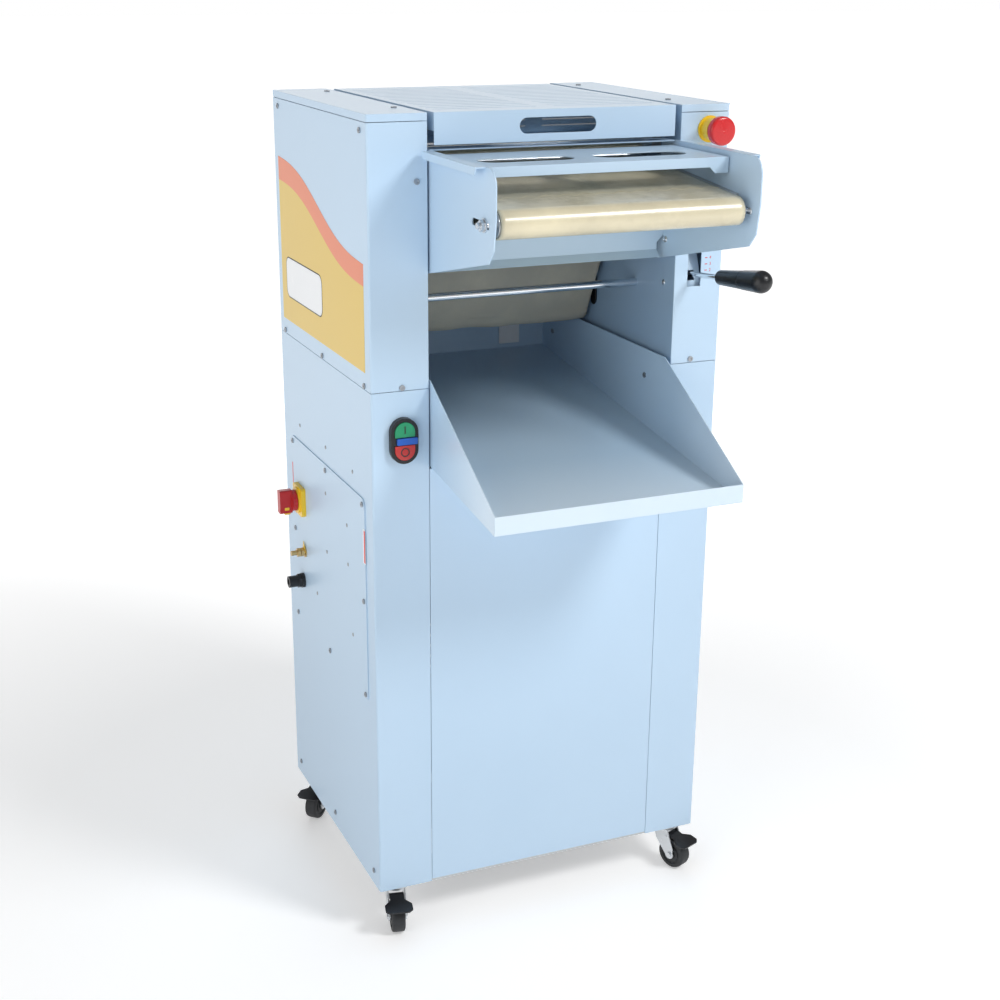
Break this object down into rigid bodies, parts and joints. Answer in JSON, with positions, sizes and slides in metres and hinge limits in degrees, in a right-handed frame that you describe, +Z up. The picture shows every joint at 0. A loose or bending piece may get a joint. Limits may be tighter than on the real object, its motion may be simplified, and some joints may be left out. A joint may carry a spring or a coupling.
{
  "type": "dough sheeter",
  "caption": "Floor-standing dough sheeter on braked castors: infeed belt, gap-adjustable sheeting rollers, moulding belt, discharge tray, hinged lid and guard.",
  "frame": {"origin": "on the floor under the centre of the cabinet, halfway across its width and depth", "axes": "+Z up, -Y out of the front where the dough goes in and comes out, +X to the right seen from the front"},
  "size_m": [0.5885, 0.662, 1.2258],
  "materials": {
    "cabinet_paint": "satin powder coat",
    "base_steel": "bare sheet steel",
    "screw_steel": "zinc plated",
    "infeed_cloth": "coated belt",
    "moulding_cloth": "woven canvas belt",
    "roller_steel": "polished",
    "drive_steel": "turned steel",
    "lever_chrome": "polished",
    "grip_plastic": "moulded black grip",
    "chain_steel": "oiled steel",
    "motor_paint": "grey enamel",
    "castor_zinc": "bright zinc plated",
    "wheel_polymer": "dark grey tread and hub",
    "pedal_plastic": "moulded black",
    "yellow_plastic": "moulded yellow",
    "switch_red": "moulded red",
    "estop_red": "moulded red",
    "brass_stud": "turned brass",
    "black_plastic": "moulded black",
    "green_button": "moulded green",
    "red_button": "moulded red",
    "side_print": "printed film"
  },
  "bodies": {
    "cabinet": {"base_frame": "base_steel", "left_lower_cover": "cabinet_paint", "right_lower_cover": "cabinet_paint", "left_upper_cover": "cabinet_paint", "right_upper_cover": "cabinet_paint", "column_caps": "cabinet_paint", "lower_front_panel": "cabinet_paint", "back_panel": "cabinet_paint", "left_frame_plate": "cabinet_paint", "right_frame_plate": "cabinet_paint", "frame_tie_bars": "base_steel", "side_access_cover": "cabinet_paint", "discharge_tray": "cabinet_paint", "belt_apron": "cabinet_paint", "cover_screws": "screw_steel", "infeed_cheeks": "cabinet_paint", "infeed_bed": "base_steel", "infeed_belt": "infeed_cloth", "tension_bolts": "screw_steel", "moulding_belt": "moulding_cloth", "pressure_board": "base_steel", "roller_scraper": "base_steel", "gearmotor": "motor_paint", "drive_chains": "chain_steel", "castor_plates": "castor_zinc", "main_switch_base": "yellow_plastic", "earth_terminal": "brass_stud", "cable_gland": "black_plastic", "start_stop_housing": "black_plastic", "estop_collar": "yellow_plastic", "side_decal": "side_print"},
    "lid": {"top_lid": "cabinet_paint"},
    "guard": {"infeed_guard": "cabinet_paint"},
    "lower_roller": {"lower_roller": "roller_steel"},
    "carriage": {"roller_carriage": "drive_steel"},
    "upper_roller": {"upper_roller": "roller_steel"},
    "lever": {"gap_shaft": "lever_chrome", "gap_lever": "lever_chrome", "lever_grip": "grip_plastic"},
    "infeed_drive": {"infeed_drive_roller": "drive_steel"},
    "infeed_nose": {"infeed_nose_roller": "drive_steel"},
    "moulding_top": {"moulding_top_roller": "drive_steel"},
    "moulding_bottom": {"moulding_bottom_roller": "drive_steel"},
    "motor_output": {"motor_sprocket": "drive_steel"},
    "stop_mushroom": {"estop_head": "estop_red"},
    "start_button": {"start_button": "green_button"},
    "stop_button": {"stop_button": "red_button"},
    "main_switch": {"main_switch_knob": "switch_red"},
    "front_left_fork": {"front_left_fork": "castor_zinc"},
    "front_left_wheel": {"front_left_wheel": "wheel_polymer"},
    "front_left_brake": {"front_left_brake": "pedal_plastic"},
    "front_right_fork": {"front_right_fork": "castor_zinc"},
    "front_right_wheel": {"front_right_wheel": "wheel_polymer"},
    "front_right_brake": {"front_right_brake": "pedal_plastic"},
    "rear_left_fork": {"rear_left_fork": "castor_zinc"},
    "rear_left_wheel": {"rear_left_wheel": "wheel_polymer"},
    "rear_left_brake": {"rear_left_brake": "pedal_plastic"},
    "rear_right_fork": {"rear_right_fork": "castor_zinc"},
    "rear_right_wheel": {"rear_right_wheel": "wheel_polymer"},
    "rear_right_brake": {"rear_right_brake": "pedal_plastic"}
  },
  "joints": [
    {"name": "lid_hinge", "type": "hinge", "parent": "cabinet", "child": "lid", "pos_m": [0, 0.198, 1.214], "axis": [-1, 0, 0], "range_deg": [0, 95]},
    {"name": "guard_hinge", "type": "hinge", "parent": "cabinet", "child": "guard", "pos_m": [0, -0.229, 1.165], "axis": [-1, 0, 0], "range_deg": [0, 80]},
    {"name": "lower_roller_spin", "type": "hinge", "parent": "cabinet", "child": "lower_roller", "pos_m": [0, -0.137, 1.109], "axis": [1, 0, 0], "continuous": true},
    {"name": "lever_hinge", "type": "hinge", "parent": "cabinet", "child": "lever", "pos_m": [0, -0.099, 0.956], "axis": [-1, 0, 0], "range_deg": [-4, 28]},
    {"name": "carriage_slide", "type": "slide", "parent": "cabinet", "child": "carriage", "axis": [0, 0, 1], "range_m": [-0.0008, 0.005]},
    {"name": "upper_roller_spin", "type": "hinge", "parent": "carriage", "child": "upper_roller", "pos_m": [0, -0.137, 1.177], "axis": [1, 0, 0], "continuous": true},
    {"name": "infeed_drive_spin", "type": "hinge", "parent": "cabinet", "child": "infeed_drive", "pos_m": [0, -0.18805, 1.125], "axis": [1, 0, 0], "continuous": true},
    {"name": "infeed_nose_spin", "type": "hinge", "parent": "cabinet", "child": "infeed_nose", "pos_m": [0, -0.405, 1.10526], "axis": [1, 0, 0], "continuous": true},
    {"name": "moulding_top_spin", "type": "hinge", "parent": "cabinet", "child": "moulding_top", "pos_m": [0, -0.018, 1.067], "axis": [1, 0, 0], "continuous": true},
    {"name": "moulding_bottom_spin", "type": "hinge", "parent": "cabinet", "child": "moulding_bottom", "pos_m": [0, 0.0712, 0.89924], "axis": [1, 0, 0], "continuous": true},
    {"name": "motor_output_spin", "type": "hinge", "parent": "cabinet", "child": "motor_output", "pos_m": [0, 0, 0.236], "axis": [1, 0, 0], "continuous": true},
    {"name": "stop_mushroom_press", "type": "slide", "parent": "cabinet", "child": "stop_mushroom", "axis": [0, 1, 0], "range_m": [0, 0.005]},
    {"name": "start_button_press", "type": "slide", "parent": "cabinet", "child": "start_button", "axis": [0, 1, 0], "range_m": [0, 0.002], "stiffness_N_per_m": 300},
    {"name": "stop_button_press", "type": "slide", "parent": "cabinet", "child": "stop_button", "axis": [0, 1, 0], "range_m": [0, 0.002], "stiffness_N_per_m": 300},
    {"name": "main_switch_turn", "type": "hinge", "parent": "cabinet", "child": "main_switch", "pos_m": [0, 0.131, 0.597], "axis": [-1, 0, 0], "range_deg": [0, 90]},
    {"name": "front_left_swivel", "type": "hinge", "parent": "cabinet", "child": "front_left_fork", "pos_m": [-0.236, -0.187, 0.071], "axis": [0, 0, 1], "continuous": true},
    {"name": "front_left_roll", "type": "hinge", "parent": "front_left_fork", "child": "front_left_wheel", "pos_m": [-0.24099, -0.21048, 0.025], "axis": [0.9781, -0.2079, 0], "continuous": true},
    {"name": "front_left_brake_press", "type": "hinge", "parent": "front_left_fork", "child": "front_left_brake", "pos_m": [-0.23933, -0.20265, 0.055], "axis": [0.9781, -0.2079, 0], "range_deg": [0, 9]},
    {"name": "front_right_swivel", "type": "hinge", "parent": "cabinet", "child": "front_right_fork", "pos_m": [0.236, -0.187, 0.071], "axis": [0, 0, 1], "continuous": true},
    {"name": "front_right_roll", "type": "hinge", "parent": "front_right_fork", "child": "front_right_wheel", "pos_m": [0.24499, -0.20925, 0.025], "axis": [0.9272, 0.3746, 0], "continuous": true},
    {"name": "front_right_brake_press", "type": "hinge", "parent": "front_right_fork", "child": "front_right_brake", "pos_m": [0.24199, -0.20183, 0.055], "axis": [0.9272, 0.3746, 0], "range_deg": [0, 9]},
    {"name": "rear_left_swivel", "type": "hinge", "parent": "cabinet", "child": "rear_left_fork", "pos_m": [-0.236, 0.187, 0.071], "axis": [0, 0, 1], "continuous": true},
    {"name": "rear_left_roll", "type": "hinge", "parent": "rear_left_fork", "child": "rear_left_wheel", "pos_m": [-0.25267, 0.16974, 0.025], "axis": [0.7193, -0.6947, 0], "continuous": true},
    {"name": "rear_left_brake_press", "type": "hinge", "parent": "rear_left_fork", "child": "rear_left_brake", "pos_m": [-0.24712, 0.17549, 0.055], "axis": [0.7193, -0.6947, 0], "range_deg": [0, 9]},
    {"name": "rear_right_swivel", "type": "hinge", "parent": "cabinet", "child": "rear_right_fork", "pos_m": [0.236, 0.187, 0.071], "axis": [0, 0, 1], "continuous": true},
    {"name": "rear_right_roll", "type": "hinge", "parent": "rear_right_fork", "child": "rear_right_wheel", "pos_m": [0.24727, 0.16581, 0.025], "axis": [0.8829, 0.4695, 0], "continuous": true},
    {"name": "rear_right_brake_press", "type": "hinge", "parent": "rear_right_fork", "child": "rear_right_brake", "pos_m": [0.24351, 0.17287, 0.055], "axis": [0.8829, 0.4695, 0], "range_deg": [0, 9]}
  ],
  "couplings": [
    {"joint": "carriage_slide", "follows": "lever_hinge", "m_per_rad": 0.01},
    {"joint": "upper_roller_spin", "follows": "lower_roller_spin", "ratio": -1},
    {"joint": "infeed_drive_spin", "follows": "lower_roller_spin", "ratio": 1},
    {"joint": "infeed_nose_spin", "follows": "lower_roller_spin", "ratio": 1},
    {"joint": "moulding_top_spin", "follows": "lower_roller_spin", "ratio": 1},
    {"joint": "moulding_bottom_spin", "follows": "lower_roller_spin", "ratio": 1},
    {"joint": "motor_output_spin", "follows": "lower_roller_spin", "ratio": 1}
  ]
}
